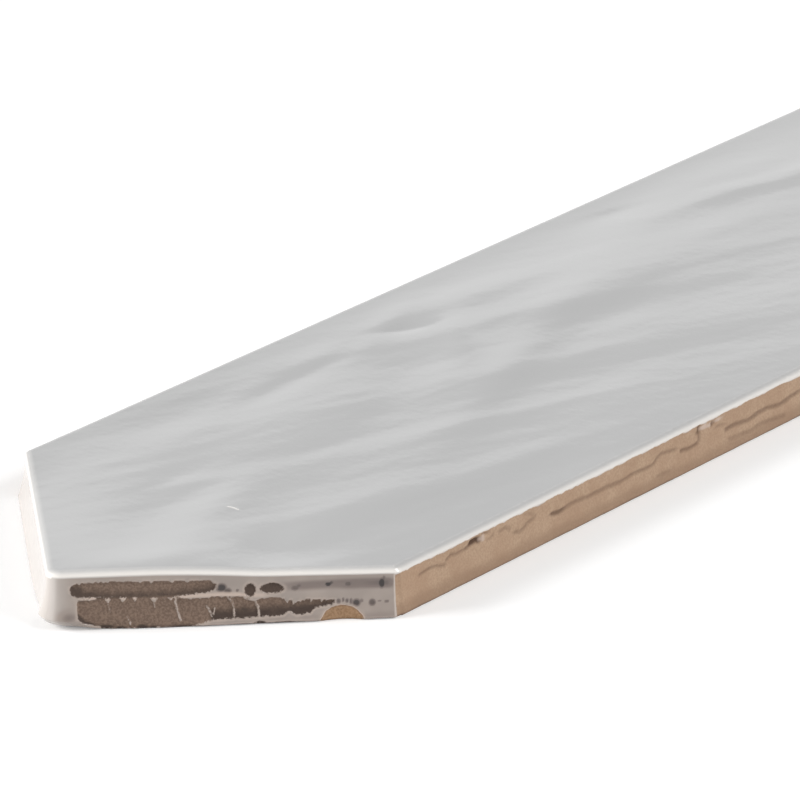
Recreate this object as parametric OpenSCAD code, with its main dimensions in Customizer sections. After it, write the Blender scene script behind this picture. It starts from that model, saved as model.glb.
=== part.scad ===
// Picket wall tile: an elongated hexagon of pressed clay with a glazed, gently folded face.
// It lies face up on its keyed back. X runs from tip to tip, Y across and Z up from the back.
// The origin is the middle of the back. All lengths are in millimetres.

/* [Outline] */
// Length from tip to tip, over the base
tile_length = 305; // [180:1:400]
// Width over the two long sides, over the base
tile_width = 76; // [50:1:110]
// Angle between the two edges of each tip, in degrees
tip_angle = 90; // [75:1:120]
// Plan radius of the face's corner at each tip
tip_radius = 1.3; // [0.5:0.1:4]
// Plan radius of the face's corner at each shoulder
shoulder_radius = 0.6; // [0.3:0.1:4]

/* [Edge] */
// Thickness at the long sides, without the folds
edge_thickness = 7.8; // [6:0.2:14]
// Radius of the soft upper edge, where the glaze turns over
edge_round = 0.9; // [0.3:0.1:2]
// How far the foot of a long side reaches out past its top
side_flare = 0.75; // [0:0.05:1.5]
// How far the foot of a tip's edges reaches out past their top
end_flare = 1.2; // [0:0.1:1.5]
// Width and height of the worn lower edge
lower_wear = 0.4; // [0.1:0.1:1]
// Further wear of the lower edge at each tip
tip_wear = 1.6; // [0:0.1:2]
// Distance from the tip over which that wear dies away
tip_wear_reach = 3.5; // [2:0.5:8]

/* [Face] */
// Rise of the face from the long sides to the middle of its width
crown_rise = 0.6; // [0:0.1:1.5]
// Further rise of the face at each tip
tip_rise = 1; // [0:0.1:1.5]
// Distance from the tip over which that rise dies away
tip_rise_reach = 22; // [10:1:40]
// Height of the highest fold of the pressed face
fold_height = 0.4; // [0:0.05:0.6]
// Share of their height that the folds keep at the edges
fold_at_edge = 0.5; // [0:0.05:1]
// Distance from the edge at which they reach their full height
fold_fade = 8; // [4:1:20]

/* [Back] */
// Distance between the middles of two keying grooves
groove_pitch = 11; // [8:0.5:14]
// Width of a groove at its mouth
groove_width = 5; // [2:0.5:7]
// Depth of a groove
groove_depth = 0.9; // [0.3:0.1:2]
// Slope of a groove's walls away from upright, in degrees
groove_draft = 30; // [0:1:40]
// Least width of the plain band between the grooves and the edge of the tile
groove_margin = 7.5; // [5:0.5:15]

/* [Chip] */
// Distance of the chip's middle from the shoulder, along the foot of one end
chip_from_shoulder = 8.5; // [6:0.5:40]
// Width of the chip along the foot
chip_width = 6.6; // [3:0.1:12]
// Height of the chip above the back
chip_height = 2.4; // [1:0.1:4]
// Depth of the chip into the end
chip_depth = 0.7; // [0.3:0.1:1.5]

/* [Mesh] */
// Distance between the points along the outline
outline_step = 4; // [3.5:0.5:10]
// Distance between the rings of points across the face
face_step = 3; // [3:0.2:10]

/* [Hidden] */

clay_colour = [0.78, 0.78, 0.78];

// Steps round a quarter of the upper edge, up the side, and over each plan corner
round_steps = 3;
side_steps = 3;
corner_steps = 3;

half_width = tile_width / 2;
half_length = tile_length / 2;
side_inset = edge_round + side_flare;
end_inset = edge_round + end_flare;

// Direction in which the edge of a tip faces, from the length of the tile
tip_normal = 90 - tip_angle / 2;

// Centres of the corner arcs of one quarter of the face's outline
tip_centre = [half_length - end_inset - tip_radius, 0];
shoulder_y = half_width - side_inset - shoulder_radius;
shoulder_x = tip_centre.x
    + (tip_radius - shoulder_radius - shoulder_y * sin(tip_normal)) / cos(tip_normal);
shoulder_centre = [shoulder_x, shoulder_y];

// End of the ridge line that lies equally far from the long sides and the edges of the tip
ridge_x = tip_centre.x + (tip_radius - (half_width - side_inset)) / cos(tip_normal);

function heading(angle) = [cos(angle), sin(angle)];

// A station is a point of the face's outline with the direction that it faces
function arc_stations(centre, radius, from, to) = [
    for (i = [0 : corner_steps])
        let (way = heading(from + (to - from) * i / corner_steps))
            [centre + radius * way, way]
];

// Stations between two others, without the two
function run_stations(a, b) =
    let (steps = max(2, round(norm(b[0] - a[0]) / outline_step)))
        [for (i = [1 : steps - 1]) [a[0] + (b[0] - a[0]) * i / steps, a[1]]];

function reversed(list) = [for (i = [len(list) - 1 : -1 : 0]) list[i]];
function flip_x(stations) = [for (s = stations) [[-s[0].x, s[0].y], [-s[1].x, s[1].y]]];
function flip_y(stations) = [for (s = stations) [[s[0].x, -s[0].y], [s[1].x, -s[1].y]]];
function inner(list) = [for (i = [1 : len(list) - 2]) list[i]];

// One quarter runs from the tip to the shoulder, and the half adds the long side and its mirror
tip_arc = arc_stations(tip_centre, tip_radius, 0, tip_normal);
shoulder_arc = arc_stations(shoulder_centre, shoulder_radius, tip_normal, 90);
quarter = concat(tip_arc, run_stations(tip_arc[corner_steps], shoulder_arc[0]), shoulder_arc);
far_quarter = reversed(flip_x(quarter));
half = concat(quarter, run_stations(quarter[len(quarter) - 1], far_quarter[0]), far_quarter);
stations = concat(half, inner(reversed(flip_y(half))));
count = len(stations);

// Distance of a point from the nearest edge of the base
function edge_distance(p) = min(
    half_width - abs(p.y),
    (half_length - abs(p.x)) * cos(tip_normal) - abs(p.y) * sin(tip_normal)
);

// The folds that the press and the hand left in the face. Each has its middle, in shares of half the
// length and half the width, its turn from the tile's length in degrees, half its length, half its
// width, and its share of fold_height, which is negative for a hollow.
folds = [
    // Crest over the edge of the near end, and the hollow behind it
    [[-0.90, -0.34], -45, 13, 6.5, 1],
    [[-0.77, 0.16], 20, 21, 5.5, -0.8],
    // Long swell in front, which slants across the width
    [[-0.70, -0.42], -15, 33, 5.5, 0.6],
    // Hollows and swells that cross each other in the middle
    [[-0.44, 0.11], 25, 22, 6, -0.6],
    [[-0.35, 0.21], 35, 18, 6.5, -0.8],
    [[-0.31, 0.05], -20, 33, 6.5, 0.6],
    [[-0.25, 0], 20, 31, 4, 0.7],
    [[-0.14, -0.42], -20, 33, 5.5, -0.4],
    [[-0.09, 0.63], -10, 23, 4, 0.6],
    [[0.03, 0.26], -5, 30, 7.5, 1],
    [[0.17, 0.55], 15, 29, 6, 0.6],
    // The far half, in the same manner
    [[0.40, -0.30], -20, 32, 6, -0.6],
    [[0.56, 0.45], 10, 26, 5.5, 0.7],
    [[0.62, -0.55], -15, 28, 6, 0.5],
    [[0.85, 0.05], 20, 18, 5.5, -0.6]
];

// Height of one fold over a point of the face, as a share of fold_height
function fold(f, p) =
    let (
        from_middle = p - [f[0].x * half_length, f[0].y * half_width],
        along = from_middle * heading(f[1]),
        across = from_middle * heading(f[1] + 90)
    )
        f[4] * exp(-pow(along / f[2], 2) - pow(across / f[3], 2));

function fold_sum(p, i = 0) = i == len(folds) ? 0 : fold(folds[i], p) + fold_sum(p, i + 1);

// Share of the folds' full height at a point of the face
function fold_share(p) =
    min(1, fold_at_edge + (1 - fold_at_edge) * max(0, edge_distance(p)) / fold_fade);

// Height of the face above the back
function face_height(p) =
    edge_thickness
    + crown_rise * (1 - pow(p.y / half_width, 2))
    + tip_rise * exp(-pow((half_length - abs(p.x)) / tip_rise_reach, 2))
    + fold_height * fold_share(p) * fold_sum(p);

// How far the foot reaches out at a station, which turns from an end into a long side
function flare(s) =
    end_flare
    + (side_flare - end_flare)
        * max(0, abs(s[1].y) - sin(tip_normal)) / (1 - sin(tip_normal));

// Width and height of the worn lower edge at a station, which never reaches in under the face
function wear(s) =
    let (from_tip = norm([abs(s[0].x) - tip_centre.x - tip_radius, s[0].y]))
        min(
            edge_round + flare(s),
            lower_wear + tip_wear * exp(-pow(from_tip / tip_wear_reach, 2))
        );

// Ring at the back, drawn in from the widest outline by the wear
function back_ring() = [
    for (s = stations)
        let (p = s[0] + (edge_round + flare(s) - wear(s)) * s[1])
            [p.x, p.y, 0]
];

// Ring at a share of the side's height above the wear, from the widest outline to the upright top
function side_ring(share) = [
    for (s = stations)
        let (
            p = s[0] + (edge_round + flare(s) * pow(1 - share, 2)) * s[1],
            top = face_height(s[0]) - edge_round
        )
            [p.x, p.y, wear(s) + share * (top - wear(s))]
];

// Ring round the soft upper edge, from upright at 0 to level at 90 degrees
function edge_ring(angle) = [
    for (s = stations)
        let (p = s[0] + edge_round * cos(angle) * s[1])
            [p.x, p.y, face_height(s[0]) - edge_round * (1 - sin(angle))]
];

// Ring part of the way from the face's outline in to the ridge line
function face_ring(share) = [
    for (s = stations)
        let (
            ridge = max(-ridge_x, min(ridge_x, s[0].x * ridge_x / shoulder_x)),
            p = s[0] + share * ([ridge, 0] - s[0])
        )
            [p.x, p.y, face_height(p)]
];

face_rings = max(2, round((half_width - side_inset) / face_step));
rings = concat(
    [back_ring()],
    [for (i = [0 : side_steps]) side_ring(i / side_steps)],
    [for (i = [1 : round_steps]) edge_ring(90 * i / round_steps)],
    [for (i = [1 : face_rings]) face_ring(i / (face_rings + 0.5))]
);

// Two triangles for each quad between a ring and the next one up
function band_faces(r) = [
    for (i = [0 : count - 1], upper = [false, true])
        let (
            a = r * count + i,
            b = r * count + (i + 1) % count,
            c = b + count,
            d = a + count
        )
            upper ? [a, d, c] : [a, c, b]
];

// The last ring is closed across the ridge, from each station to its mirror image
function ridge_faces(r) = [
    for (i = [0 : count / 2 - 1], upper = [false, true])
        let (
            a = r * count + i,
            b = a + 1,
            c = r * count + count - i - 1,
            d = r * count + (count - i) % count
        )
            if (upper ? a != d : b != c) (upper ? [a, d, c] : [a, c, b])
];

module pressed_body() {
    polyhedron(
        points = [for (ring = rings) each ring],
        faces = concat(
            [[for (i = [0 : count - 1]) i]],
            [for (r = [0 : len(rings) - 2]) each band_faces(r)],
            ridge_faces(len(rings) - 1)
        )
    );
}

// Tapered groove along the tile, open downwards, as far as the margin of the tips lets it run
module keying_groove(y) {
    half_mouth = groove_width / 2;
    half_floor = max(half_mouth / 4, half_mouth - groove_depth * tan(groove_draft));
    reach = half_length - (groove_margin + (abs(y) + half_mouth) * sin(tip_normal)) / cos(tip_normal);
    translate([-reach, y, 0])
        rotate([90, 0, 90])
            linear_extrude(2 * reach)
                polygon([
                    [-half_mouth, -1], [half_mouth, -1],
                    [half_mouth, 0], [half_floor, groove_depth],
                    [-half_floor, groove_depth], [-half_mouth, 0]
                ]);
}

// Shallow shell-shaped flake out of the foot of the end that faces -X and -Y
module foot_chip() {
    // Circle through the chip's two corners and its top, and the ball that is that deep behind it
    rim = (pow(chip_width / 2, 2) + pow(chip_height, 2)) / (2 * chip_height);
    ball = (pow(rim, 2) + pow(chip_depth, 2)) / (2 * chip_depth);
    // Lean of the flared end over the height of the chip
    slope_share = 1 - chip_height / (edge_thickness - edge_round);
    lean = atan(end_flare * (1 - pow(slope_share, 2)) / chip_height);
    // Corner of the foot at the shoulder, and the way from there to the tip
    foot_radius = tip_radius + end_inset;
    shoulder = [
        (half_width * sin(tip_normal) - foot_radius) / cos(tip_normal) - tip_centre.x,
        -half_width
    ];
    middle = shoulder + chip_from_shoulder * [-sin(tip_normal), cos(tip_normal)];
    translate([middle.x, middle.y, 0])
        rotate([0, -lean, 180 + tip_normal])
            translate([ball - chip_depth, 0, chip_height - rim])
                sphere(r = ball, $fn = 96);
}

module tile() {
    room = tile_width - 2 * groove_margin - groove_width;
    last = floor(room / groove_pitch);
    color(clay_colour)
        difference() {
            pressed_body();
            for (i = [0 : last])
                keying_groove((i - last / 2) * groove_pitch);
            foot_chip();
        }
}

tile();
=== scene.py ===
import math

import bpy
import numpy as np
from mathutils import Matrix, Vector, noise
from mathutils.geometry import delaunay_2d_cdt


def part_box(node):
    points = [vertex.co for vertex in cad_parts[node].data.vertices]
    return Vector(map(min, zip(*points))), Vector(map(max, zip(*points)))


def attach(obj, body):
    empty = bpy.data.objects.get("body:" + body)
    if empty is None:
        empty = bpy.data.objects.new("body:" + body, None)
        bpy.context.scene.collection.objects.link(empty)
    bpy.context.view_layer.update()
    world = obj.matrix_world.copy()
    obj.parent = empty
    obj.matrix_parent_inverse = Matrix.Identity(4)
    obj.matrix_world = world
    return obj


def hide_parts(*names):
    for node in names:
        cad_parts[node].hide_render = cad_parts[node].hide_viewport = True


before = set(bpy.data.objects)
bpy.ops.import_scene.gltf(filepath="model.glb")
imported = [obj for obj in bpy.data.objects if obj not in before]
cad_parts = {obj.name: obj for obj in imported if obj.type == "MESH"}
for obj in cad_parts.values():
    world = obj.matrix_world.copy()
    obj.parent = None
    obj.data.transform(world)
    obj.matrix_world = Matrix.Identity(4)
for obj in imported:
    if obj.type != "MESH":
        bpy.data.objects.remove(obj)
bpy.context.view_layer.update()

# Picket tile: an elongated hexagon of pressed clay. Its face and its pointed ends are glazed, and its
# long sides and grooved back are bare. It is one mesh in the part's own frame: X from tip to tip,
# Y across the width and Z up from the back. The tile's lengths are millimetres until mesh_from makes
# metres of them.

MM = 0.001

# Sizes of the tile, as its source has them
tile_low, tile_high = (np.array(corner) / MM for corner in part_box("tile"))
HALF_LENGTH = (tile_high[0] - tile_low[0]) / 2
HALF_WIDTH = (tile_high[1] - tile_low[1]) / 2
TIP_NORMAL = math.radians(45)
TIP_RADIUS = 1.3
SHOULDER_RADIUS = 0.6
EDGE_THICKNESS = 7.8
EDGE_ROUND = 0.9
SIDE_FLARE = 0.75
END_FLARE = 1.2
LOWER_WEAR = 0.4
TIP_WEAR = 1.6
TIP_WEAR_REACH = 3.5
TIP_RISE_REACH = 22.0
FOLD_HEIGHT = 0.4
FOLD_AT_EDGE = 0.5
FOLD_FADE = 8.0
GROOVE_PITCH = 11.0
GROOVE_WIDTH = 5.0
GROOVE_DEPTH = 0.9
GROOVE_DRAFT = math.radians(30)
GROOVE_MARGIN = 7.5
CHIP_FROM_SHOULDER = 8.5
CHIP_WIDTH = 6.6
CHIP_HEIGHT = 2.4
CHIP_DEPTH = 0.7
# The crown is 0.2 lower than the source's, for the photograph's even brightness across the face, and
# the rise towards the tips makes up for most of that there
CROWN_RISE = 0.4
TIP_RISE = 1.15
# Middle in shares of half the length and half the width, turn in degrees, half length, half width,
# and share of the fold height
FOLDS = (
    ((-0.90, -0.34), -45, 13, 6.5, 1),
    ((-0.77, 0.16), 20, 21, 5.5, -0.8),
    ((-0.70, -0.42), -15, 33, 5.5, 0.6),
    ((-0.44, 0.11), 25, 22, 6, -0.6),
    ((-0.35, 0.21), 35, 18, 6.5, -0.8),
    ((-0.31, 0.05), -20, 33, 6.5, 0.6),
    ((-0.25, 0), 20, 31, 4, 0.7),
    ((-0.14, -0.42), -20, 33, 5.5, -0.4),
    ((-0.09, 0.63), -10, 23, 4, 0.6),
    ((0.03, 0.26), -5, 30, 7.5, 1),
    ((0.17, 0.55), 15, 29, 6, 0.6),
    ((0.40, -0.30), -20, 32, 6, -0.6),
    ((0.56, 0.45), 10, 26, 5.5, 0.7),
    ((0.62, -0.55), -15, 28, 6, 0.5),
    ((0.85, 0.05), 20, 18, 5.5, -0.6),
)
# Creases too narrow for the source, in the same form
CREASES = (
    ((-0.80, -0.47), 30, 12, 4, -0.6),
    ((-0.79, -0.61), -10, 12, 4, -0.4),
    ((-0.78, -0.11), 20, 20, 4, 0.4),
    ((-0.72, 0.22), 0, 7, 2.5, 0.4),
    ((-0.58, 0.72), 0, 12, 4, -0.4),
    ((-0.48, -0.08), -20, 34, 2.5, -0.25),
    ((-0.46, -0.66), -10, 12, 2.5, 0.25),
    ((-0.43, 0.61), 5, 13, 2.5, -0.6),
    ((-0.39, -0.28), -20, 20, 3, 0.25),
    ((-0.37, 0.68), 10, 7, 2.5, 0.35),
    ((-0.24, 0.61), -15, 5, 3, -0.4),
    ((-0.24, 0.62), -26, 5, 1.3, -0.45),
    ((-0.24, 0.71), 20, 12, 2.5, 0.35),
    ((-0.22, 0.37), 45, 12, 3, 0.8),
    ((-0.20, -0.05), -20, 20, 2.5, -0.15),
    ((-0.16, 0.33), 0, 7, 2.5, -0.25),
    ((-0.12, 0.32), -20, 34, 3.5, 0.3),
    ((0.01, 0.07), 10, 30, 4, -0.25),
    ((0.06, -0.17), -20, 30, 4, -0.15),
    ((0.19, 0.78), -10, 7, 2, -0.3),
    ((0.25, -0.05), -20, 20, 4, 0.35),
    ((0.25, 0.29), -10, 12, 3, 0.2),
    ((0.33, 0.57), -10, 7, 2.5, 0.4),
    ((0.39, 0.66), -10, 12, 4, 0.4),
    ((0.41, 0.45), -10, 28, 3, 0.7),
    ((0.72, -0.15), 15, 24, 3, -0.4),
)
# Fine streaks that the glaze ran in: turn in degrees, width, length over width, and height
STREAK_TURN = -18
STREAK_WIDTH = 2.2
STREAK_STRETCH = 4.5
STREAK_HEIGHT = 0.026
# A fleck of thick pale glaze on the face: its middle line, half width, width of its margin and height
FLECK_LINE = ((-113.6, -3.1), (-113.4, -3.9), (-113.5, -5.0))
FLECK_HALF_WIDTH = 0.16
FLECK_MARGIN = 0.12
FLECK_HEIGHT = 0.06

# Fineness of the mesh. The spacing along the outline starts at the tip at +X and runs counter-clockwise:
# far end, back side, the near end's hidden and seen edges, front side and far end again
EDGE_SPACING = (0.5, 1.4, 0.4, 0.16, 0.6, 0.5)
TIP_STEPS = 16
SHOULDER_STEPS = 6
FOOT_STEPS = 3
SIDE_STEPS = 34
ROUND_STEPS = 8
FACE_SPACING = 1.0
FLECK_SPACING = 0.2
BACK_SPACING = 4.0
# Rows of points that follow the outline on the face, in from where its round edge begins
FACE_ROWS = (0.35, 0.8, 1.4)
# Gap between the points of a groove and the grid round it, and how far its floor ends before its mouth
GROOVE_GAP = 0.5
GROOVE_END = 0.2

# Noise that roughens the walls: size of its lumps in millimetres, seed and octaves
GRAIN = (1.1, 1, 2)
LUMPS = (6.0, 2, 2)
BITES = (1.6, 3, 2)
TEETH = (0.55, 4, 1)
STREAKS = (STREAK_WIDTH, 5, 2)
# Scale along each axis for the bites and the teeth, whose lumps it draws out upright
BITES_SHARES = (1, 1, 0.4)
TEETH_SHARES = (1, 1, 0.25)

# Relief of the glaze and the clay
GLAZE_THICKNESS = 0.2
GLAZE_BEAD = 0.07
LIP_DROP = 0.15
LIP_BULGE = 0.12
LIP_BULGE_REACH = 0.4
MARK_DEPTH = 0.25
CLAY_LUMPS = 0.05
CLAY_GRAIN = 0.02
# Shallow bands that the press left along the near end: height, half width and depth
PRESS_MARKS = ((5.8, 0.8, 0.10), (2.4, 1.0, 0.08))
# Height up to which the foot is bare
BARE_FOOT = 0.18
# The chip's rim is ragged here, a little wider than the source's and nearer to the shoulder
CHIP_SHIFT = 0.2
CHIP_STRETCH = 1.06
CHIP_RAGGED = 0.10
# Share of the turn round a shoulder at which the bare clay of the long side starts
CLAY_FROM = 0.45
# How much of the round edge's pale glaze and painted highlight is left where the face starts
PALE_AT_OUTLINE = 0.12
# How much less of the pale glaze and painted highlight the round edge has along the front long side
PALE_LOSS_AT_FRONT = 0.35
# Distance from the back edge over which painted shade darkens the face towards it
BACK_SHADE_REACH = 9.0
# The foot draws in towards the near tip: how far along X and over what distance, near the tip and wider
# round it, and up to what height
TIP_FOOT = ((0.4, 5.5), (1.2, 10.0))
TIP_FOOT_HEIGHT = 1.8
# Depth that stands for anywhere well inside a patch and, with a minus, well outside it
DEEP = 2.0
# A wall belongs to the near end where the cosine between its direction and that end's is over this
ON_END = 0.75

SIDE_INSET = EDGE_ROUND + SIDE_FLARE
END_INSET = EDGE_ROUND + END_FLARE
TIP_CENTRE_X = HALF_LENGTH - END_INSET - TIP_RADIUS
SHOULDER_Y = HALF_WIDTH - SIDE_INSET - SHOULDER_RADIUS
SHOULDER_X = TIP_CENTRE_X + (
    TIP_RADIUS - SHOULDER_RADIUS - SHOULDER_Y * math.sin(TIP_NORMAL)
) / math.cos(TIP_NORMAL)


def smooth(low, high, value):
    """Goes smoothly from 0 at low to 1 at high, and stays there."""
    share = np.clip((value - low) / (high - low), 0, 1)
    return share * share * (3 - 2 * share)


def bell(distance, reach):
    """1 at no distance, dying away over the reach."""
    return np.exp(-((distance / reach) ** 2))


def clouds(points, size, seed, octaves):
    """Seeded noise of about -1 to 1 at an array of points, with lumps of a size in millimetres."""
    shift = Vector((17.3 * seed, -9.1 * seed, 5.7 * seed))
    return np.array([
        noise.fractal(Vector(p) / size + shift, 1.0, 2.0, octaves, noise_basis="PERLIN_ORIGINAL")
        for p in points
    ])


def along_and_across(x, y, turn):
    """Distances along and across a direction, which is turned from X by some degrees."""
    turn = math.radians(turn)
    return x * math.cos(turn) + y * math.sin(turn), y * math.cos(turn) - x * math.sin(turn)


def stroke(u, v, points, half_width):
    """Depth inside a line drawn through some (u, v) points, negative outside it."""
    best = np.full(u.shape, -np.inf)
    for (u0, v0), (u1, v1) in zip(points[:-1], points[1:]):
        length = (u1 - u0) ** 2 + (v1 - v0) ** 2
        share = np.clip(((u - u0) * (u1 - u0) + (v - v0) * (v1 - v0)) / length, 0, 1)
        away = np.hypot(u - u0 - share * (u1 - u0), v - v0 - share * (v1 - v0))
        best = np.maximum(best, half_width - away)
    return best


# Outline of the face


def corner_stations(centre, radius, start, end, steps):
    """Points round one corner of the outline with the directions that they face."""
    angles = np.linspace(start, end, steps + 1)
    ways = np.stack([np.cos(angles), np.sin(angles)], axis=1)
    return np.array(centre) + radius * ways, ways


def outline():
    """Points of the face's outline with the directions that they face, from the tip at +X round."""
    turn = math.pi
    corners = (
        ((TIP_CENTRE_X, 0), TIP_RADIUS, -TIP_NORMAL, TIP_NORMAL, TIP_STEPS),
        ((SHOULDER_X, SHOULDER_Y), SHOULDER_RADIUS, TIP_NORMAL, turn / 2, SHOULDER_STEPS),
        ((-SHOULDER_X, SHOULDER_Y), SHOULDER_RADIUS, turn / 2, turn - TIP_NORMAL, SHOULDER_STEPS),
        ((-TIP_CENTRE_X, 0), TIP_RADIUS, turn - TIP_NORMAL, turn + TIP_NORMAL, TIP_STEPS),
        ((-SHOULDER_X, -SHOULDER_Y), SHOULDER_RADIUS, turn + TIP_NORMAL, 1.5 * turn, SHOULDER_STEPS),
        ((SHOULDER_X, -SHOULDER_Y), SHOULDER_RADIUS, 1.5 * turn, 2 * turn - TIP_NORMAL, SHOULDER_STEPS),
    )
    arcs = [corner_stations(*corner) for corner in corners]
    points, ways = [], []
    for edge, (arc_points, arc_ways) in enumerate(arcs):
        next_points, _ = arcs[(edge + 1) % len(arcs)]
        start, end = arc_points[-1], next_points[0]
        steps = max(2, round(np.linalg.norm(end - start) / EDGE_SPACING[edge]))
        shares = (np.arange(1, steps) / steps)[:, None]
        points += [arc_points, start + shares * (end - start)]
        ways += [arc_ways, np.repeat(arc_ways[-1:], steps - 1, axis=0)]
    return np.concatenate(points), np.concatenate(ways)


# Height of the face


def edge_distance(x, y):
    """Distance in from the edge of the foot."""
    to_end = (HALF_LENGTH - abs(x)) * math.cos(TIP_NORMAL) - abs(y) * math.sin(TIP_NORMAL)
    return np.minimum(HALF_WIDTH - abs(y), to_end)


def inside_outline(x, y):
    """Distance in from the face's outline, where its round edge begins."""
    to_side = SHOULDER_Y + SHOULDER_RADIUS - abs(y)
    to_end = (TIP_CENTRE_X - abs(x)) * math.cos(TIP_NORMAL) + TIP_RADIUS
    return np.minimum(to_side, to_end - abs(y) * math.sin(TIP_NORMAL))


def fold(x, y, middle, turn, half_length, half_width, share):
    """A fold's share of the fold height."""
    from_middle = x - middle[0] * HALF_LENGTH, y - middle[1] * HALF_WIDTH
    along, across = along_and_across(*from_middle, turn)
    return share * np.exp(-((along / half_length) ** 2) - (across / half_width) ** 2)


def streaks(x, y):
    """Noise drawn out along the way that the glaze ran."""
    along, across = along_and_across(x, y, STREAK_TURN)
    return clouds(np.column_stack([along / STREAK_STRETCH, across, np.zeros(len(x))]), *STREAKS)


def fleck(x, y):
    """Share of the fleck's full height."""
    return smooth(-FLECK_MARGIN, FLECK_MARGIN, stroke(x, y, FLECK_LINE, FLECK_HALF_WIDTH))


def face_height(x, y):
    """Height of the face above the back."""
    inwards = np.maximum(0, edge_distance(x, y)) / FOLD_FADE
    share = np.minimum(1, FOLD_AT_EDGE + (1 - FOLD_AT_EDGE) * inwards)
    return (
        EDGE_THICKNESS
        + CROWN_RISE * (1 - (y / HALF_WIDTH) ** 2)
        + TIP_RISE * bell(HALF_LENGTH - abs(x), TIP_RISE_REACH)
        + FOLD_HEIGHT * share * sum(fold(x, y, *one) for one in FOLDS + CREASES)
        + STREAK_HEIGHT * share * streaks(x, y)
        + FLECK_HEIGHT * fleck(x, y)
    )


# Places on the near end that faces the camera: s runs along its foot from the shoulder to the tip

END_WAY = -np.array([math.cos(TIP_NORMAL), math.sin(TIP_NORMAL)])
END_ALONG = np.array([-math.sin(TIP_NORMAL), math.cos(TIP_NORMAL)])
LEFT_WAY = np.array([-math.cos(TIP_NORMAL), math.sin(TIP_NORMAL)])
FOOT_SHOULDER = np.array([
    (HALF_WIDTH * math.sin(TIP_NORMAL) - TIP_RADIUS - END_INSET) / math.cos(TIP_NORMAL)
    - TIP_CENTRE_X,
    -HALF_WIDTH,
])


def line_height(line, s):
    """Height at s of a line through some (s, z) points."""
    places, heights = zip(*line)
    return np.interp(s, places, heights)


def band(s, z, top, bottom):
    """Depth inside a patch between two lines of (s, z) points, negative outside it."""
    ends = np.minimum(s - top[0][0], top[-1][0] - s)
    return np.minimum(np.minimum(line_height(top, s) - z, z - line_height(bottom, s)), ends)


def oval_reach(s, z, middle, half_width, half_height):
    """Distance from the middle of an oval as a share of its size."""
    return np.hypot((s - middle[0]) / half_width, (z - middle[1]) / half_height)


def ovals(s, z, sizes):
    """Depth inside the nearest of some ovals, negative outside them all."""
    return np.maximum.reduce([
        (1 - oval_reach(s, z, middle, half_width, half_height)) * min(half_width, half_height)
        for middle, half_width, half_height in sizes
    ])


# Margins of the two patches of bare clay, from which the glaze drew back
UPPER_TOP = (
    (27.2, 6.4), (27.6, 6.9), (28.4, 7.1), (32, 7.15), (36, 7.3), (40, 7.45), (43, 7.6), (47, 7.5),
    (48.4, 7.4), (48.9, 7.2), (49.1, 6.8),
)
UPPER_BOTTOM = (
    (27.2, 6.0), (27.6, 5.5), (28.6, 5.15), (31, 4.95), (34, 4.8), (42, 4.95), (45, 5.1), (47.5, 5.2),
    (48.6, 5.4), (49, 5.8), (49.1, 6.2),
)
LOWER_TOP = (
    (9.4, 3.2), (11, 3.3), (13, 3.45), (16.6, 3.5), (17.4, 4.0), (20.4, 3.9), (21.4, 3.5), (22.4, 4.1),
    (23.6, 4.35), (25, 4.45), (27, 4.5), (29, 4.4), (31, 4.3), (33.4, 4.6), (45.2, 4.75), (48.1, 4.75),
)
LOWER_BOTTOM = (
    (9.4, 2.8), (10, 2.4), (12.2, 2.2), (13, 1.4), (15.2, 1.25), (16.4, 1.9), (17, 1.3), (20.5, 1.15),
    (28, 1.0), (31, 0.2), (42.5, 0.15), (44, 0.35), (46, 0.75), (47.4, 1.3), (48.1, 2.0),
)
# Spots in which the glaze is missing: middle, half width and half height
SPOTS = (((22.1, 5.25), 0.85, 1.0), ((18.8, 5.35), 1.65, 0.8))
# Smudges where it is thin and dark, in the same form and with their strength
SMUDGES = (
    ((26.4, 5.8), 0.7, 0.6, 0.9), ((25.5, 5.25), 0.55, 0.4, 0.8), ((24.0, 5.3), 0.2, 0.2, 0.7),
    ((15.3, 5.3), 0.55, 0.35, 0.7), ((14.7, 5.6), 0.35, 0.3, 0.7), ((10.3, 5.65), 0.45, 0.3, 0.95),
    ((9.8, 5.85), 0.25, 0.25, 0.8), ((7.3, 5.55), 0.5, 0.4, 0.75), ((2.2, 5.5), 0.5, 0.75, 0.95),
    ((1.9, 6.2), 0.2, 0.4, 0.7), ((8.8, 2.95), 0.3, 0.35, 0.7), ((8.1, 3.15), 0.15, 0.3, 0.7),
    ((7.5, 3.0), 0.2, 0.3, 0.75), ((6.9, 2.9), 0.2, 0.4, 0.7), ((6.1, 2.65), 0.55, 0.5, 0.85),
    ((5.3, 2.9), 0.25, 0.25, 0.5), ((3.7, 2.6), 0.45, 0.45, 0.75), ((2.6, 2.75), 0.25, 0.15, 0.5),
    ((1.5, 2.65), 0.3, 0.2, 0.6),
)
# Dark nicks along the foot, in the form of the spots
NICKS = (
    ((20.6, 0.3), 0.8, 0.24), ((17.2, 0.2), 2.6, 0.14), ((38.5, 0.3), 0.75, 0.3),
    ((36.8, 0.15), 0.7, 0.2), ((44.2, 0.45), 0.9, 0.3), ((32.5, 0.1), 2.4, 0.22),
    ((42.0, 0.25), 0.5, 0.2),
)
# Strip where the two patches meet
JOINT_TOP = ((33.4, 5.1), (45.2, 5.1))
JOINT_BOTTOM = ((33.4, 4.5), (45.2, 4.5))
# Beads of glaze that point down from it: middle, top and width, and how fast they narrow
BEADS = ((43.5, 4.85, 0.7), (41.2, 4.95, 0.8), (39.4, 4.85, 0.6), (36.5, 4.7, 0.85), (34.0, 4.6, 0.5))
BEAD_NARROWING = 0.75
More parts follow.
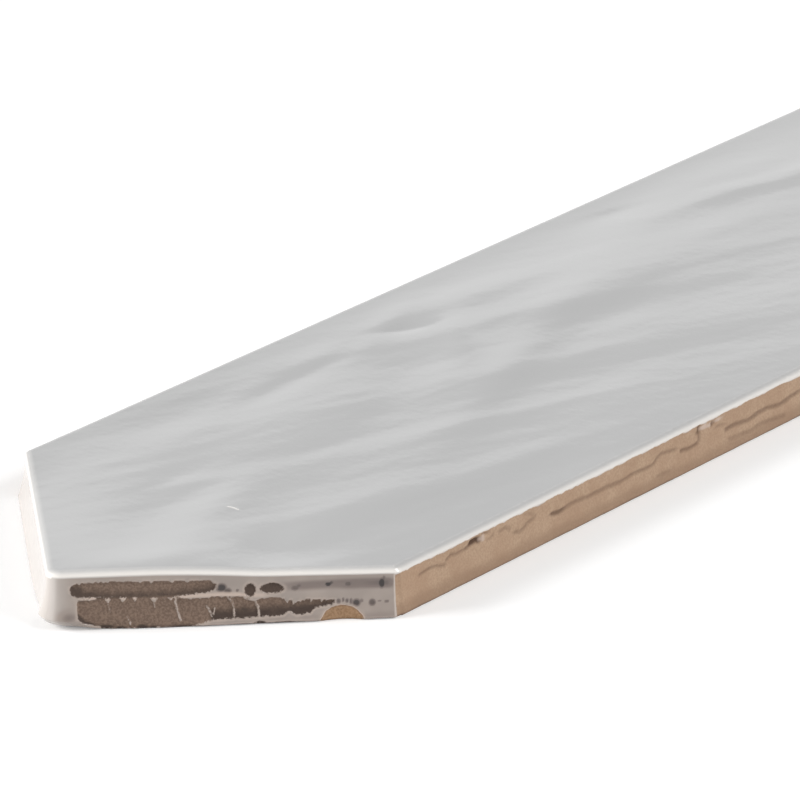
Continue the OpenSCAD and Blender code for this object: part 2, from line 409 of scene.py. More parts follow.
# Veins of glaze across the lower patch, each with its half width
VEINS = (
    (((33.2, 4.6), (33.4, 4.0), (33.0, 2.4), (32.6, 1.1)), 0.13),
    (((43.5, 4.4), (43.2, 2.8)), 0.04),
    (((36.5, 4.2), (36.4, 3.2)), 0.04),
    (((28.6, 3.0), (27.9, 1.6)), 0.10),
    (((27.4, 2.7), (27.8, 1.5)), 0.07),
    (((25.6, 4.5), (24.9, 3.8), (24.6, 2.6), (24.5, 1.2)), 0.12),
    (((23.0, 4.1), (21.4, 3.6), (20.9, 2.6), (20.8, 1.2)), 0.15),
    (((40.6, 2.0), (40.5, 1.5)), 0.10),
    (((40.3, 1.2), (40.3, 0.8)), 0.12),
)
# Upper margins of the dark clay: in the upper patch, in the lower one and in its corner at the tip
BURNT_UPPER = ((27, 6.5), (29, 5.8), (32, 5.6), (38, 5.5), (44, 5.8), (47, 6.2), (48.6, 7.2), (49, 7.8))
BURNT_LOWER = ((9, 3.1), (12, 2.7), (17, 2.4), (21, 2.4), (28, 2.2))
BURNT_CORNER = ((45.5, 0.8), (47, 1.6), (48.2, 2.9))
# Middle line of the thin pale glaze between the patches, and middle height of the band of painted shade
# along the upper press mark
PALE_STRIP = ((18, 4.25), (26, 4.8), (33, 4.75), (45, 5.0))
PAINTED_SHADE_BAND = 5.6


def bare_on_end(s, z, jitter, bites):
    """Depth in millimetres inside the bare patches of the near end, where the glaze drew back."""
    bitten = z + 0.6 * np.maximum(0, bites) + 0.1 * jitter
    upper = np.minimum(band(s, z, UPPER_TOP, UPPER_BOTTOM), band(s, bitten, UPPER_TOP, UPPER_BOTTOM))
    bitten = z + (0.25 + 1.1 * smooth(19, 15, s)) * np.maximum(0, bites) + 0.15 * jitter
    lower = np.minimum(band(s, z, LOWER_TOP, LOWER_BOTTOM), band(s, bitten, LOWER_TOP, LOWER_BOTTOM))
    depth = np.maximum.reduce([upper, lower, band(s, z, JOINT_TOP, JOINT_BOTTOM)])
    for middle, top, width in BEADS:
        narrowing = BEAD_NARROWING * (z - top + width)
        depth = np.minimum(depth, -np.minimum(narrowing - abs(s - middle), top - z))
    for points, half_width in VEINS:
        depth = np.minimum(depth, -stroke(s, z + 0.1 * jitter, points, half_width))
    spots = ovals(s, z, SPOTS) + 0.12 * jitter
    nicks = ovals(s, z, NICKS) + 0.05 * jitter
    return np.maximum.reduce([depth, spots, nicks])


def on_near_end(points):
    """(s, z) of points of the near end."""
    return (points[:, :2] - FOOT_SHOULDER) @ END_ALONG, points[:, 2]


def chip_on_end(s, z, jitter):
    """Depth in from the chip's rim, negative outside it, and depth of its hollow."""
    radius = ((CHIP_WIDTH / 2) ** 2 + CHIP_HEIGHT**2) / (2 * CHIP_HEIGHT)
    away = np.hypot((s - CHIP_FROM_SHOULDER + CHIP_SHIFT) / CHIP_STRETCH, z - (CHIP_HEIGHT - radius))
    hollow = CHIP_DEPTH * (1 - (np.minimum(away, radius) / radius) ** 2)
    return radius - away + CHIP_RAGGED * jitter, hollow


# Walls: rings of points from the foot up to the face


def sideways(ways):
    """0 where a wall faces as an end does, and 1 where it faces as a long side does."""
    return (abs(ways[:, 1]) - math.sin(TIP_NORMAL)) / (1 - math.sin(TIP_NORMAL))


def wall_rings(points, ways):
    """Rings of the walls without their relief, as arrays of outward offset, height and lip height."""
    flare = END_FLARE + (SIDE_FLARE - END_FLARE) * np.maximum(0, sideways(ways))
    tip_distance = np.hypot(abs(points[:, 0]) - TIP_CENTRE_X - TIP_RADIUS, points[:, 1])
    wear = LOWER_WEAR + TIP_WEAR * bell(tip_distance, TIP_WEAR_REACH)
    wear = np.minimum(wear, EDGE_ROUND + flare)
    lip = face_height(points[:, 0], points[:, 1]) - EDGE_ROUND
    rings = []
    for step in range(FOOT_STEPS + 1):
        angle = math.pi / 2 * step / FOOT_STEPS
        out = EDGE_ROUND + flare - wear * (1 - math.sin(angle))
        rings.append((out, wear * (1 - math.cos(angle))))
    for step in range(1, SIDE_STEPS + 1):
        share = step / SIDE_STEPS
        rings.append((EDGE_ROUND + flare * (1 - share) ** 2, wear + (lip - wear) * share))
    for step in range(1, ROUND_STEPS + 1):
        angle = math.pi / 2 * step / ROUND_STEPS
        out = np.full(len(points), EDGE_ROUND * math.cos(angle))
        rings.append((out, lip + EDGE_ROUND * math.sin(angle)))
    out, height = (np.array(part) for part in zip(*rings))
    return out, height, np.broadcast_to(lip, height.shape)


def round_edge_pale_and_highlight(x, y, over, on_end):
    """Share of pale glaze and painted highlight on the round edge over the lip: less along the front side
    and not at all at the back.
    """
    from_lip = smooth(-0.40, -0.12, over - 0.24 * on_end)
    to_face = 1 - (1 - PALE_AT_OUTLINE) * smooth(0.2, 0.95, over)
    front = smooth(SHOULDER_Y - 1, SHOULDER_Y + 1, -y) * smooth(SHOULDER_X + 1, SHOULDER_X - 1, abs(x))
    back = smooth(0, 1, y) * smooth(-SHOULDER_X - 1, -SHOULDER_X + 1, x)
    return from_lip * to_face * (1 - PALE_LOSS_AT_FRONT * front - back)


def painted_back_shading(x, y):
    """Share of painted shade that darkens the glaze towards the edge along the back."""
    near_edge = smooth(BACK_SHADE_REACH, -1, inside_outline(x, y))
    return near_edge * smooth(SHOULDER_Y - 14, SHOULDER_Y - 4, y)


def walls(points, ways):
    """The walls' points with their relief, their traits, which the material reads, and how many rings."""
    out, height, lip = wall_rings(points, ways)
    ring_count = len(out)
    way = np.tile(ways, (ring_count, 1))
    base = np.tile(points, (ring_count, 1))
    out, height, lip = out.ravel(), height.ravel(), lip.ravel()
    place = np.column_stack([base + out[:, None] * way, height])
    s, z = on_near_end(place)
    on_end = way @ END_WAY > ON_END
    on_front = way[:, 1] < 0
    side_way = sideways(way)

    grain = clouds(place, *GRAIN)
    lumps = clouds(place, *LUMPS)
    bites = clouds(place * BITES_SHARES, *BITES)
    teeth = clouds(place * TEETH_SHARES, *TEETH)

    # Bare are the near end's patches and its chip, the long sides up to just under the lip, and the foot
    patches = np.where(on_end, bare_on_end(s, z, grain, teeth), -DEEP)
    chip, hollow = chip_on_end(s, z, grain)
    chip = np.where(on_end, chip, -DEEP)
    side_top = lip - LIP_DROP + 0.12 * lumps + 0.3 * np.minimum(bites, 0.2) - 0.12 * np.maximum(0, teeth)
    side = np.minimum(1.6 * (side_way - CLAY_FROM + 0.06 * grain), side_top - z)
    foot = np.where(way @ LEFT_WAY > 0.3, -DEEP, BARE_FOOT - z + 0.15 * lumps)
    bare = np.maximum.reduce([patches, chip, side, foot])

    # On the near end the glaze stands proud of the bare clay and thickens towards its margin
    sunk = smooth(-0.10, 0.12, np.where(on_end, bare, -DEEP)) * GLAZE_THICKNESS
    bead = GLAZE_BEAD * smooth(-0.55, -0.12, bare) * smooth(0.0, -0.12, bare) * on_end
    pressed = sum(depth * bell(z - middle, half_width) for middle, half_width, depth in PRESS_MARKS)
    relief = bead - sunk - np.where(way @ END_WAY > 0.98, pressed, 0) * smooth(50.5, 47, s)
    relief -= np.where(on_end, np.maximum(0, hollow - sunk), 0)

    # On the long sides it ends in a rounded lip, over clay with marks and lumps
    bulge = LIP_BULGE * bell(z - lip, LIP_BULGE_REACH) * smooth(0.05, -0.08, side)
    relief += bulge * smooth(0.3, 0.8, side_way) * (z < lip + 0.3)
    marks, residue = drag_marks(place[:, 0], z, grain)
    marks *= on_front * smooth(0.0, 0.3, side)
    relief -= MARK_DEPTH * marks
    relief += CLAY_LUMPS * lumps * smooth(0, 0.3, side) + CLAY_GRAIN * grain * smooth(0, 0.2, bare)
    place[:, :2] += relief[:, None] * way
    from_tip = np.hypot(base[:, 0] + TIP_CENTRE_X + TIP_RADIUS, base[:, 1])
    drawn_in = sum(far * bell(from_tip, reach) for far, reach in TIP_FOOT)
    place[:, 0] += drawn_in * smooth(TIP_FOOT_HEIGHT, 0, z)

    # The glaze is thin and pale down the corners; the round edge has pale glaze and a painted highlight, and
    # the left end painted light
    edge_pale_and_highlight = round_edge_pale_and_highlight(place[:, 0], place[:, 1], z - lip, on_end)
    down_corner = smooth(0.0, 0.08, side_way) * smooth(0.75, 0.5, side_way) * smooth(0.15, 0.0, side)
    # Painted light on the left end, which pales its glaze
    on_left = smooth(0.25, 0.9, way @ LEFT_WAY)
    thin_on_end = pale_on_end(s, z) * on_end
    traits = {
        "bare_depth": bare,
        "chip_depth": chip,
        "end_share": smooth(lip + 0.1, lip - 0.1, z),
        # Thin pale glaze, with a painted highlight on the round edge and painted light on the left end
        "pale": np.maximum.reduce([edge_pale_and_highlight, 0.25 * down_corner, 0.1 * on_left]),
        "thin": np.maximum.reduce([0.6 * down_corner, thin_on_end, residue * on_front]),
        # Near end: painted shade, painted light and real smudges; left end: painted light
        "painted_shading_and_smudges": painted_shading_and_smudges_on_end(s, z, lumps) * on_end - on_left,
        "burnt": burnt_on_end(s, z, grain) * on_end,
        "marks": marks,
        "side_share": smooth(0.2, 0.5, side_way),
        "foot_share": smooth(0.55, 0.1, z + 0.15 * lumps),
        "low": smooth(2.6, 1.0, z + 0.4 * lumps),
        "painted_back_shading": painted_back_shading(base[:, 0], base[:, 1]),
    }
    return place, traits, ring_count


def burnt_on_end(s, z, jitter):
    """Share of dark clay along the lower side of each patch of the near end."""
    over = z - line_height(BURNT_UPPER, s) + 0.3 * jitter
    upper = smooth(0.7, -0.6, over) * smooth(4.6, 5.0, z) * smooth(26.5, 27.5, s)
    over = z - line_height(BURNT_LOWER, s) + 0.3 * jitter
    lower = smooth(1.0, -0.7, over) * smooth(28.4, 27.8, s) * smooth(8.5, 9.5, s)
    corner = smooth(0.3, -0.1, z - line_height(BURNT_CORNER, s))
    corner *= smooth(45.4, 46.2, s) * smooth(49.4, 48.4, s)
    spots = smooth(-0.3, 0.0, ovals(s, z, SPOTS))
    nicks = 1.2 * smooth(-0.2, 0.0, ovals(s, z, NICKS))
    return np.maximum.reduce([0.8 * upper, lower, 0.9 * corner, 0.85 * spots, 0.85 * nicks])


def painted_shading_and_smudges_on_end(s, z, lumps):
    """Painted shading of the near end's glaze, with its real dark smudges: paler below 0 (painted light
    towards the tip), darker up to 1 (a band of painted shade along the upper press mark, and darker towards
    the foot and the shoulder), and smudged dark from 1 to 2.
    """
    # Painted shade: a darker band along the upper press mark
    dark = (1 + 0.4 * lumps) * smooth(1.2, 0.15, abs(z - PAINTED_SHADE_BAND + 0.2 * lumps))
    dark = dark * smooth(24, 12, s) * smooth(-0.4, 1.6, s)
    near_foot = 0.3 * smooth(1.6, 0.6, z) * smooth(33, 28, s)
    near_shoulder = 0.15 * smooth(12, 5, s)
    # Painted light: paler towards the tip, where the end turns towards the lit left end
    near_tip = 0.75 * smooth(47, 53, s)
    low_at_tip = np.exp(-(((s - 49.6) / 1.5) ** 2) - ((z - 2.3) / 0.9) ** 2)
    painted_shading_and_smudges = dark + near_foot + near_shoulder + low_at_tip - near_tip
    for *place, strength in SMUDGES:
        smudge = 2 * strength * smooth(1.55, 0.7, oval_reach(s, z, *place) + 0.15 * lumps)
        painted_shading_and_smudges = np.where(smudge > 0, np.maximum(painted_shading_and_smudges, smudge), painted_shading_and_smudges)
    return painted_shading_and_smudges


def pale_on_end(s, z):
    """Share of thin pale glaze on the strip between the patches."""
    strip = 0.9 * smooth(0.55, 0.1, abs(z - line_height(PALE_STRIP, s)))
    strip *= smooth(17, 22, s) * smooth(49.5, 46, s)
    return strip


# Drag marks of the front long side, grooves darkened with painted shade: a line of (x, z) points, half width
# and strength
DRAG_MARKS = (
    (((-109.7, 4.9), (-108.4, 5.0), (-107, 5.2), (-105.6, 5.0), (-104.5, 4.7), (-103.5, 4.4)), 0.2, 0.7),
    (((-103.5, 4.4), (-103.1, 5.0), (-102.4, 5.4), (-101.8, 5.6), (-100.8, 5.3), (-98.5, 5.3)), 0.2, 0.7),
    (((-98.5, 5.3), (-97.4, 5.6), (-96.7, 5.9)), 0.25, 0.9),
    (((-97, 5.9), (-95.8, 5.95), (-94.8, 5.7)), 0.42, 1.6),
    (((-93.9, 6.5), (-93, 6.3), (-92.4, 6.1)), 0.15, 0.9),
    (((-92.6, 5.1), (-91.8, 5.2), (-91.4, 5.6)), 0.15, 0.5),
    (((-89.9, 5.5), (-88.4, 5.6), (-87.2, 5.0)), 0.25, 0.5),
    (((-86.4, 4.2), (-84.9, 3.8), (-83.7, 4.1), (-82.6, 4.7), (-81.2, 4.8)), 0.3, 0.55),
    (((-83.2, 6.2), (-82, 5.8), (-80.7, 5.2)), 0.2, 0.4),
    (((-76.8, 4.15), (-75.4, 3.85), (-73.7, 4.0)), 0.3, 1.1),
    (((-73.7, 4.0), (-72.2, 4.2), (-69.4, 4.2), (-67, 4.0), (-62.4, 4.0), (-59.1, 3.8)), 0.3, 0.6),
    ((
        (-59.1, 3.8), (-55.4, 4.1), (-53, 3.95), (-50.4, 3.95), (-49.2, 4.7), (-48.2, 5.1), (-44.4, 4.6),
    ), 0.25, 0.65),
    (((-42.9, 3.95), (-40.9, 3.7), (-38.8, 3.8), (-38.3, 4.3), (-38.2, 6.0)), 0.25, 0.8),
    (((-38.3, 5.6), (-38, 6.4)), 0.4, 1.2),
    (((-34.6, 5.9), (-34.3, 5.9)), 0.35, 1.2),
    (((-33.6, 4.9), (-32.4, 5.1), (-31.2, 4.7)), 0.2, 0.4),
    ((
        (-30.9, 3.8), (-28.8, 3.9), (-24.6, 3.5), (-22.1, 3.9), (-19.6, 3.95), (-16.2, 3.5), (-10.8, 4.1),
    ), 0.32, 0.75),
    (((-10.8, 4.1), (4.6, 3.8), (19.6, 4.2), (37.6, 3.9)), 0.3, 0.6),
    (((-30.4, 2.0), (-27.4, 1.85), (-24.4, 1.7), (-21.4, 2.0), (-18.4, 1.7), (-15.4, 1.5)), 0.3, 0.4),
    (((-49.4, 1.8), (-46.4, 1.7)), 0.25, 0.3),
    (((52.6, 4.6), (60.6, 4.3), (74.6, 4.5), (83.6, 4.9)), 0.25, 0.5),
)
# Remains of glaze on that side: middle, half width and half height
RESIDUE = (
    ((-94.1, 5.8), 0.45, 0.5), ((-36.6, 6.1), 1.0, 0.35), ((-35.3, 6.0), 0.6, 0.3),
    ((-33, 6.2), 0.9, 0.25),
)


def drag_marks(x, z, jitter):
    """Shares of a drag mark's full depth and of remains of glaze at points of the front long side."""
    depth = np.zeros_like(x)
    for points, half_width, strength in DRAG_MARKS:
        inside = stroke(x, z + 0.1 * jitter, points, half_width)
        depth = np.maximum(depth, strength * smooth(-0.25, 0.2, inside))
    return depth, smooth(-0.2, 0.1, ovals(x, z, RESIDUE) + 0.1 * jitter)


# The whole tile as one closed mesh


def grid_within(inside, spacing):
    """Points of a triangular grid for which inside(x, y) holds."""
    rows = np.arange(-HALF_WIDTH, HALF_WIDTH, spacing * math.sqrt(0.75))
    columns = np.arange(-HALF_LENGTH, HALF_LENGTH, spacing)
    x, y = np.meshgrid(columns, rows)
    x = x + (np.arange(len(rows)) % 2 * spacing / 2)[:, None]
    keep = inside(x, y)
    return np.column_stack([x[keep], y[keep]])


def filled(loop, loose, segments=()):
    """Triangles that fill a loop of points through some loose ones, as indices into loop + loose."""
    flat = [Vector(p) for p in np.concatenate([loop, loose])]
    result = delaunay_2d_cdt(flat, list(segments), [list(range(len(loop)))], 1, 1e-6)
    origins = [sources[0] for sources in result[3]]
    return [[origins[corner] for corner in face] for face in result[2]]


def face_points(points, ways):
    """Points of the face: rows that follow its outline, and a grid within them."""
    rows = []
    for inset in FACE_ROWS:
        row = points - inset * ways
        rows.append(row[inside_outline(row[:, 0], row[:, 1]) > inset - 1e-6])
    margin = FACE_ROWS[-1] + 0.6 * FACE_SPACING
    fleck_gap = 0.3 * FACE_SPACING

    def by_fleck(x, y):
        return stroke(x, y, FLECK_LINE, 3 * FLECK_HALF_WIDTH)

    def plain(x, y):
        return (inside_outline(x, y) > margin) & (by_fleck(x, y) < -fleck_gap)

    rows.append(grid_within(plain, FACE_SPACING))
    rows.append(grid_within(lambda x, y: by_fleck(x, y) > 0, FLECK_SPACING))
    flat = np.concatenate(rows)
    return np.column_stack([flat, face_height(flat[:, 0], flat[:, 1])])


def back_points():
    """Points of the grooved back, and the edges of its grooves as pairs of indices."""
    half_mouth = GROOVE_WIDTH / 2
    half_floor = half_mouth - GROOVE_DEPTH * math.tan(GROOVE_DRAFT)
    last = int((2 * HALF_WIDTH - 2 * GROOVE_MARGIN - GROOVE_WIDTH) // GROOVE_PITCH)
    middles = [(i - last / 2) * GROOVE_PITCH for i in range(last + 1)]

    def reach(y):
        slanted = GROOVE_MARGIN + (abs(y) + half_mouth) * math.sin(TIP_NORMAL)
        return HALF_LENGTH - slanted / math.cos(TIP_NORMAL)

    points, segments = [], []
    for y in middles:
        for half, length, height in (
            (half_mouth, reach(y), 0.0),
            (half_floor, reach(y) - GROOVE_END, GROOVE_DEPTH),
        ):
            first = len(points)
            for side_x, side_y in ((-1, -1), (1, -1), (1, 1), (-1, 1)):
                points.append((side_x * length, y + side_y * half, height))
            segments += [(first + i, first + (i + 1) % 4) for i in range(4)]

    def on_land(x, y):
        clear = edge_distance(x, y) > BACK_SPACING
        for middle in middles:
            beside, past = abs(y - middle) - half_mouth, abs(x) - reach(middle)
            in_groove = (beside < GROOVE_GAP) & (past < GROOVE_GAP)
            clear = clear & ~in_groove
        return clear

    land = grid_within(on_land, BACK_SPACING)
    land = np.column_stack([land, np.zeros(len(land))])
    return np.concatenate([np.array(points), land]), segments


def mesh_from(name, points, faces, traits):
    """A smooth mesh with sharp creases, and an attribute for each trait of its points."""
    mesh = bpy.data.meshes.new(name)
    mesh.from_pydata((points * MM).tolist(), [], faces)
    mesh.validate()
    mesh.shade_smooth()
    mesh.set_sharp_from_angle(angle=math.radians(50))
    for trait, values in traits.items():
        layer = mesh.attributes.new(trait, "FLOAT", "POINT")
        layer.data.foreach_set("value", np.ascontiguousarray(values, dtype=np.float32))
    return mesh


def tile_mesh():
    points, ways = outline()
    count = len(points)
    wall, traits, ring_count = walls(points, ways)
    face = face_points(points, ways)
    back, segments = back_points()
    faces = []
    for ring in range(ring_count - 1):
        start = ring * count
        for i in range(count):
            j = (i + 1) % count
            faces.append([start + i, start + j, start + count + j, start + count + i])

    # The face, from the last ring inwards
    top_ring = (ring_count - 1) * count
    indices = list(range(top_ring, top_ring + count)) + list(range(len(wall), len(wall) + len(face)))
    for triangle in filled(wall[top_ring:, :2], face[:, :2]):
        faces.append([indices[corner] for corner in triangle])

    # The back, from the first ring inwards and facing down
    first_back = len(wall) + len(face)
    indices = list(range(count)) + list(range(first_back, first_back + len(back)))
    shifted = [(count + a, count + b) for a, b in segments]
    for triangle in filled(wall[:count, :2], back[:, :2], shifted):
        faces.append([indices[corner] for corner in reversed(triangle)])

    # The face is glaze all over and the back is bare clay all over
    x, y = face[:, 0], face[:, 1]
    filling = {
        "bare_depth": (-DEEP, DEEP), "chip_depth": (-DEEP, -DEEP), "end_share": (0, 0),
        "side_share": (0, 1), "foot_share": (0, 0.3), "pale": (0.7 * fleck(x, y), 0),
        "thin": (0, 0), "painted_shading_and_smudges": (0, 0), "burnt": (0, 0), "marks": (0, 0), "low": (0, 0),
        "painted_back_shading": (painted_back_shading(x, y), 0),
    }
    for trait, (on_face, on_back) in filling.items():
        extra = [np.full(len(face), on_face, float), np.full(len(back), on_back, float)]
        traits[trait] = np.concatenate([traits[trait], *extra])
    return mesh_from("picket_tile", np.concatenate([wall, face, back]), faces, traits)


# Materials


def linear(*srgb):
    """A colour of 0 to 255, as it looks on a screen, in linear light."""
    shares = [c / 255 for c in srgb]
    return tuple(c / 12.92 if c <= 0.04045 else ((c + 0.055) / 1.055) ** 2.4 for c in shares) + (1.0,)


WHITE = (1, 1, 1, 1)
FLOOR_WHITE = (0.8, 0.8, 0.8, 1)
# Of a pair of colours, the second mottles the first
FACE_GLAZE = (linear(173, 173, 173), linear(178, 178, 178))
BACK_PAINTED_SHADE = linear(165, 165, 165)
END_GLAZE = (linear(160, 148, 140), linear(169, 156, 147))
SHADE_AND_SMUDGE_GLAZE = linear(126, 113, 107)
SMUDGED_GLAZE = linear(46, 39, 38)
GLAZE_IN_PAINTED_LIGHT = linear(197, 189, 183)
PALE_GLAZE = linear(200, 181, 168)
HIGHLIGHT_AND_PALE_LIP = linear(247, 242, 236)
SIDE_CLAY = (linear(170, 142, 118), linear(181, 154, 129))
BLOTCHED_CLAY = linear(162, 132, 108)
LOW_CLAY = linear(140, 113, 92)
MARK_PAINTED_SHADE = linear(84, 60, 44)
END_CLAY = (linear(110, 91, 79), linear(133, 112, 97))
BURNT_CLAY = linear(70, 57, 50)
FRESH_CLAY = (linear(146, 114, 84), linear(168, 136, 106))
GLAZE_ROUGHNESS = 0.13
CLAY_ROUGHNESS = 0.85
BUMP_HEIGHT = 0.12 * MM


class Nodes:
    """Short ways to add and join the nodes of a material or the world."""

    def __init__(self, owner):
        owner.use_nodes = True
        self.owner = owner
        self.tree = owner.node_tree

    def add(self, kind, **settings):
        node = self.tree.nodes.new(kind)
        for key, value in settings.items():
            setattr(node, key, value)
        return node

    def plug(self, value, socket):
        if isinstance(value, bpy.types.NodeSocket):
            self.tree.links.new(value, socket)
        else:
            socket.default_value = value

    def feed(self, name, **values):
        """Plugs a value or a socket into each named input of the node that has a name."""
        for socket, value in values.items():
            self.plug(value, self.tree.nodes[name].inputs[socket.replace("_", " ")])

    def trait(self, name):
        return self.add("ShaderNodeAttribute", attribute_name=name).outputs["Fac"]

    def seen(self):
        """1 for what the camera or the glaze sees, and 0 for light on its way to other things."""
        path = self.add("ShaderNodeLightPath")
        return self.math("MAXIMUM", path.outputs["Is Camera Ray"], path.outputs["Is Glossy Ray"])

    def math(self, operation, a, b):
        node = self.add("ShaderNodeMath", operation=operation)
        self.plug(a, node.inputs[0])
        self.plug(b, node.inputs[1])
        return node.outputs[0]

    def ramp(self, value, low, high, to_low=0.0, to_high=1.0):
        node = self.add("ShaderNodeMapRange", interpolation_type="SMOOTHSTEP")
        for socket, entry in zip(node.inputs, (value, low, high, to_low, to_high)):
            self.plug(entry, socket)
        return node.outputs[0]

    def blend(self, share, a, b):
        node = self.add("ShaderNodeMix", data_type="RGBA")
        for index, entry in ((0, share), (6, a), (7, b)):
            self.plug(entry, node.inputs[index])
        return node.outputs[2]

    def noise(self, size_mm, detail, stretch=(1, 1, 1)):
        """Noise of 0 to 1 with lumps of a size in millimetres, drawn out by a factor along each axis."""
        place = self.add("ShaderNodeTexCoord").outputs["Object"]
        mapping = self.add("ShaderNodeMapping")
        mapping.inputs["Scale"].default_value = [1 / (size_mm * MM * s) for s in stretch]
        self.plug(place, mapping.inputs["Vector"])
        node = self.add("ShaderNodeTexNoise")
        node.inputs["Scale"].default_value = 1.0
        node.inputs["Detail"].default_value = detail
        self.plug(mapping.outputs[0], node.inputs["Vector"])
        return node.outputs["Fac"]


def glaze_colour(nodes, blotches):
    cloud = nodes.noise(24.0, 2.0, (2.5, 1, 1))
    face = nodes.blend(nodes.ramp(cloud, 0.3, 0.7), *FACE_GLAZE)
    # Painted shade darkens the face towards its back edge
    face = nodes.blend(nodes.trait("painted_back_shading"), face, BACK_PAINTED_SHADE)
    painted_shading_and_smudges = nodes.trait("painted_shading_and_smudges")
    end = nodes.blend(nodes.ramp(blotches, 0.35, 0.7), *END_GLAZE)
    # Painted shade and real smudges darken the end's glaze, and painted light makes it paler towards the tip
    # and on the left end
    end = nodes.blend(nodes.ramp(painted_shading_and_smudges, 0.0, 1.0), end, SHADE_AND_SMUDGE_GLAZE)
    end = nodes.blend(nodes.ramp(painted_shading_and_smudges, 1.0, 2.0), end, SMUDGED_GLAZE)
    end = nodes.blend(nodes.ramp(painted_shading_and_smudges, 0.0, -1.0), end, GLAZE_IN_PAINTED_LIGHT)
    margin = nodes.ramp(nodes.trait("bare_depth"), -0.5, -0.1, 0.0, 0.35)
    end = nodes.blend(nodes.math("MAXIMUM", margin, nodes.trait("thin")), end, PALE_GLAZE)
    glaze = nodes.blend(nodes.trait("end_share"), face, end)
    # Thin pale glaze, with a painted highlight along the round edge and painted light on the left end
    return nodes.blend(nodes.trait("pale"), glaze, HIGHLIGHT_AND_PALE_LIP)


def clay_colour(nodes, grain, blotches):
    speckle = nodes.ramp(grain, 0.35, 0.65)
    side = nodes.blend(speckle, *SIDE_CLAY)
    side = nodes.blend(nodes.ramp(blotches, 0.35, 0.65, 0.0, 0.5), side, BLOTCHED_CLAY)
    # Darker low down, painted shade in the drag marks' grooves, and remains of thin pale glaze
    for trait, weight, colour in (
        ("low", 0.5, LOW_CLAY),
        ("marks", 0.65, MARK_PAINTED_SHADE),
        ("thin", 0.8, PALE_GLAZE),
    ):
        side = nodes.blend(nodes.math("MULTIPLY", nodes.trait(trait), weight), side, colour)
    clay = nodes.blend(nodes.trait("side_share"), nodes.blend(speckle, *END_CLAY), side)
    clay = nodes.blend(nodes.trait("burnt"), clay, BURNT_CLAY)
    # Darker along the foot
    clay = nodes.blend(nodes.math("MULTIPLY", nodes.trait("foot_share"), 0.45), clay, BURNT_CLAY)
    fresh = nodes.ramp(nodes.trait("chip_depth"), 0.05, 0.15)
    return nodes.blend(fresh, clay, nodes.blend(speckle, *FRESH_CLAY))


def tile_material():
    nodes = Nodes(bpy.data.materials.new("glazed_tile"))
    grain = nodes.noise(0.35, 3.0)
    blotches = nodes.noise(5.0, 2.0)
    ripples = nodes.noise(1.5, 2.0)

    # Bare clay starts where the depth, roughened by the grain, passes zero
    ragged = nodes.math("ADD", nodes.trait("bare_depth"), nodes.ramp(grain, 0.3, 0.7, -0.10, 0.10))
    bare = nodes.ramp(ragged, -0.10, 0.10)
    colour = nodes.blend(bare, glaze_colour(nodes, blotches), clay_colour(nodes, grain, blotches))

    # The broken edge of the glaze is a pale line round the chip
    chip = nodes.trait("chip_depth")
    chip_line = nodes.math("MULTIPLY", nodes.ramp(chip, -0.18, -0.04), nodes.ramp(chip, 0.14, 0.02))
    colour = nodes.blend(chip_line, colour, PALE_GLAZE)

    # Clay is rough with its grain, and all of the tile is a little uneven
    rough = nodes.math("MULTIPLY", grain, nodes.ramp(bare, 0.0, 1.0, 0.0, 0.6))
    height = nodes.math("ADD", rough, nodes.math("MULTIPLY", ripples, 0.18))
    bump = nodes.add("ShaderNodeBump")
    nodes.plug(BUMP_HEIGHT, bump.inputs["Distance"])
    nodes.plug(height, bump.inputs["Height"])
    roughness = nodes.ramp(bare, 0.0, 1.0, GLAZE_ROUGHNESS, CLAY_ROUGHNESS)
    nodes.feed("Principled BSDF", Base_Color=colour, Roughness=roughness, Normal=bump.outputs[0])
    return nodes.owner


def floor_material():
    """White that the camera and the glaze see a little above what the lamps give, so that it stays white."""
    nodes = Nodes(bpy.data.materials.new("white_floor"))
    lift = nodes.math("MULTIPLY", nodes.seen(), FLOOR_LIFT)
    nodes.feed("Principled BSDF", Base_Color=FLOOR_WHITE, Roughness=1.0, Specular_IOR_Level=0.0)
    nodes.feed("Principled BSDF", Emission_Color=WHITE, Emission_Strength=lift)
    return nodes.owner


# Stage, light and camera, in metres

FLOOR_LIFT = 0.25
FLOOR_SIZE = 8.0
WORLD_LIGHT = 0.35
WORLD_SEEN = 0.75
LAMP_AIM = Vector((-0.05, 0, 0))
# Name, place, width, height, power in watts, and whether the glaze mirrors the lamp. The key's image
# would whiten the whole face where it is seen from the far end.
LAMPS = (
    ("key", (-1.5, 1.5, 0.9), 1.2, 1.0, 55, False),
    ("fill", (0.1, -0.78, 0.64), 0.6, 0.5, 6.2, True),
    ("panel", (2.97, 2.3, 0.72), 3.2, 1.52, 7.8, True),
)
CAMERA_EYE = Vector((-0.8468, -0.6166, 0.4068))
CAMERA_YAW = math.radians(38.347)
CAMERA_PITCH = math.radians(21.722)
CAMERA_ROLL = math.radians(0.181)
CAMERA_LENS = 304.2
CAMERA_REACH = 20.0
SENSOR = 36.0


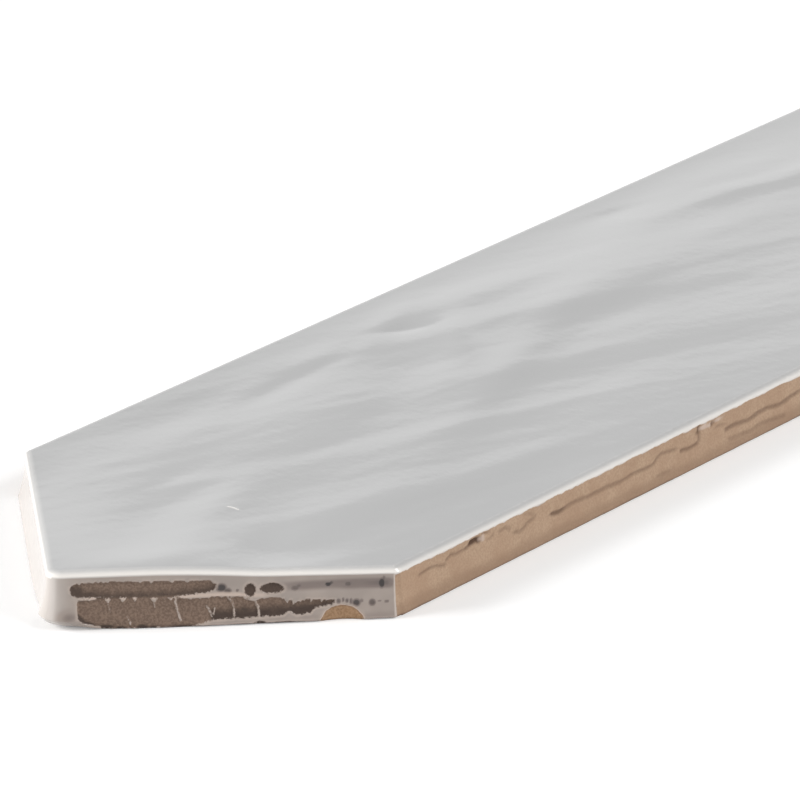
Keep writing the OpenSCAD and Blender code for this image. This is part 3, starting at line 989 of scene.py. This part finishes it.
def make_floor():
    half = FLOOR_SIZE / 2
    corners = [(-half, -half, 0), (half, -half, 0), (half, half, 0), (-half, half, 0)]
    mesh = bpy.data.meshes.new("floor")
    mesh.from_pydata(corners, [], [(0, 1, 2, 3)])
    mesh.materials.append(floor_material())
    floor = bpy.data.objects.new("floor", mesh)
    bpy.context.collection.objects.link(floor)


def make_world():
    """Plain pale light, brighter where it is seen than where it falls on the tile."""
    nodes = Nodes(bpy.data.worlds.new("studio"))
    strength = nodes.ramp(nodes.seen(), 0.0, 1.0, WORLD_LIGHT, WORLD_SEEN)
    nodes.feed("Background", Color=WHITE, Strength=strength)
    bpy.context.scene.world = nodes.owner


def make_lamp(name, place, width, height, power, mirrored):
    data = bpy.data.lights.new(name, "AREA")
    data.shape = "RECTANGLE"
    data.size, data.size_y = width, height
    data.energy = power
    lamp = bpy.data.objects.new(name, data)
    bpy.context.collection.objects.link(lamp)
    lamp.location = place
    lamp.rotation_euler = (LAMP_AIM - Vector(place)).to_track_quat("-Z", "Y").to_euler()
    lamp.visible_glossy = mirrored


def make_camera():
    data = bpy.data.cameras.new("camera")
    data.sensor_width = SENSOR
    data.lens = CAMERA_LENS
    data.clip_end = CAMERA_REACH
    camera = bpy.data.objects.new("camera", data)
    bpy.context.collection.objects.link(camera)
    level = math.cos(CAMERA_PITCH)
    forward = Vector((
        level * math.cos(CAMERA_YAW), level * math.sin(CAMERA_YAW), -math.sin(CAMERA_PITCH)
    ))
    right = Vector((math.sin(CAMERA_YAW), -math.cos(CAMERA_YAW), 0))
    axes = Matrix((right, right.cross(forward), -forward)).transposed().to_4x4()
    camera.matrix_world = Matrix.Translation(CAMERA_EYE) @ axes @ Matrix.Rotation(CAMERA_ROLL, 4, "Z")
    bpy.context.scene.camera = camera


tile = bpy.data.objects.new("picket_tile", tile_mesh())
bpy.context.collection.objects.link(tile)
tile.data.materials.append(tile_material())
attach(tile, "root")
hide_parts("tile")

make_floor()
make_world()
for lamp in LAMPS:
    make_lamp(*lamp)
make_camera()
bpy.context.scene.view_settings.view_transform = "Standard"
